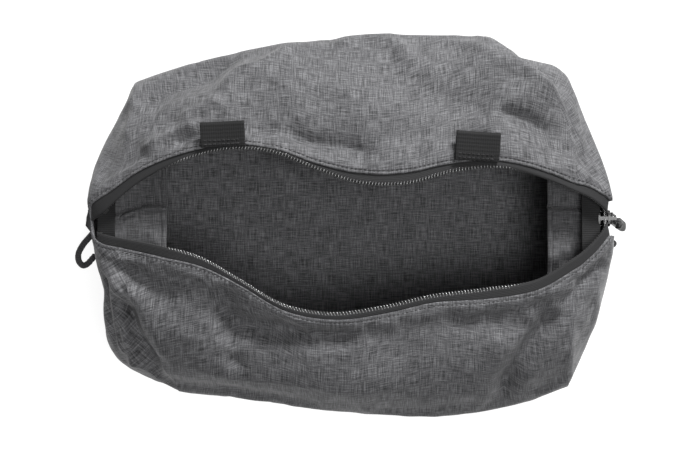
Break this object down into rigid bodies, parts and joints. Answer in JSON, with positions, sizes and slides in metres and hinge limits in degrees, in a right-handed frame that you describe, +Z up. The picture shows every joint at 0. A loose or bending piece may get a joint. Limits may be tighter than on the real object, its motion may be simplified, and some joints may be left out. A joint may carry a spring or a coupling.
{
  "type": "shoe bag",
  "caption": "Soft zip-top shoe bag in heather cloth, standing open, with end pockets, webbing tabs and cord loops.",
  "frame": {"origin": "middle of the underside of the base panel, on the ground", "axes": "+X along the zip towards the parked slider, +Y towards the panel with the webbing tabs, +Z up"},
  "size_m": [0.3642, 0.2541, 0.1111],
  "materials": {
    "heather_cloth": "coated polyester with a fine heathered grey weave, matt",
    "pocket_cloth": "the same heather cloth in the shade of the bag, matt",
    "zip_tape": "smooth dark grey coated zip tape, slight sheen",
    "zip_coil": "nylon coil, satin",
    "slider_metal": "cast metal, worn satin",
    "black_cord": "braided black cord",
    "pull_rubber": "moulded sleeve, dark grey, matt",
    "webbing": "flat ribbed webbing, black",
    "binding": "black lining and binding cloth"
  },
  "bodies": {
    "bag": {"base_panel": "heather_cloth", "front_panel": "heather_cloth", "rear_panel": "heather_cloth", "left_end_panel": "heather_cloth", "right_end_panel": "heather_cloth", "front_zip_tape": "zip_tape", "rear_zip_tape": "zip_tape", "front_zip_coil": "zip_coil", "rear_zip_coil": "zip_coil", "closed_zip_teeth": "zip_coil", "front_top_stop": "slider_metal", "rear_top_stop": "slider_metal", "zip_bottom_stop": "slider_metal", "left_pocket": "pocket_cloth", "left_pocket_hem": "pocket_cloth", "right_pocket": "pocket_cloth", "right_pocket_hem": "pocket_cloth", "left_end_facing": "binding", "right_end_facing": "binding", "front_base_binding": "binding", "right_end_base_binding": "binding", "rear_base_binding": "binding", "left_end_base_binding": "binding"},
    "slider": {"zip_slider": "slider_metal"},
    "pull": {"pull_link": "slider_metal", "pull_cord": "black_cord", "pull_sleeve": "pull_rubber"},
    "left_loop": {"left_end_loop": "black_cord"},
    "right_loop": {"right_end_loop": "black_cord"},
    "left_tab": {"rear_left_tab": "webbing"},
    "right_tab": {"rear_right_tab": "webbing"}
  },
  "joints": [
    {"name": "slider_slide", "type": "slide", "parent": "bag", "child": "slider", "axis": [0, 0, -1], "range_m": [0, 0.022], "deforming": ["closed_zip_teeth"]},
    {"name": "pull_swing", "type": "hinge", "parent": "slider", "child": "pull", "pos_m": [0.1696, 0.0045, 0.08], "axis": [0, -1, 0], "range_deg": [0, 130]},
    {"name": "left_loop_swing", "type": "hinge", "parent": "bag", "child": "left_loop", "pos_m": [-0.17, -0.0158, 0.0735], "axis": [0.0524, -0.9434, -0.3276], "range_deg": [-25, 25]},
    {"name": "right_loop_swing", "type": "hinge", "parent": "bag", "child": "right_loop", "pos_m": [0.17375, -0.01265, 0.0405], "axis": [-0.0249, -0.2072, -0.978], "range_deg": [-25, 25]},
    {"name": "left_tab_swing", "type": "hinge", "parent": "bag", "child": "left_tab", "pos_m": [-0.08, 0.0495, 0.1069], "axis": [0.9986, 0.0523, 0], "range_deg": [0, 95]},
    {"name": "right_tab_swing", "type": "hinge", "parent": "bag", "child": "right_tab", "pos_m": [0.08, 0.0405, 0.1074], "axis": [0.9976, -0.0698, 0], "range_deg": [0, 95]}
  ]
}
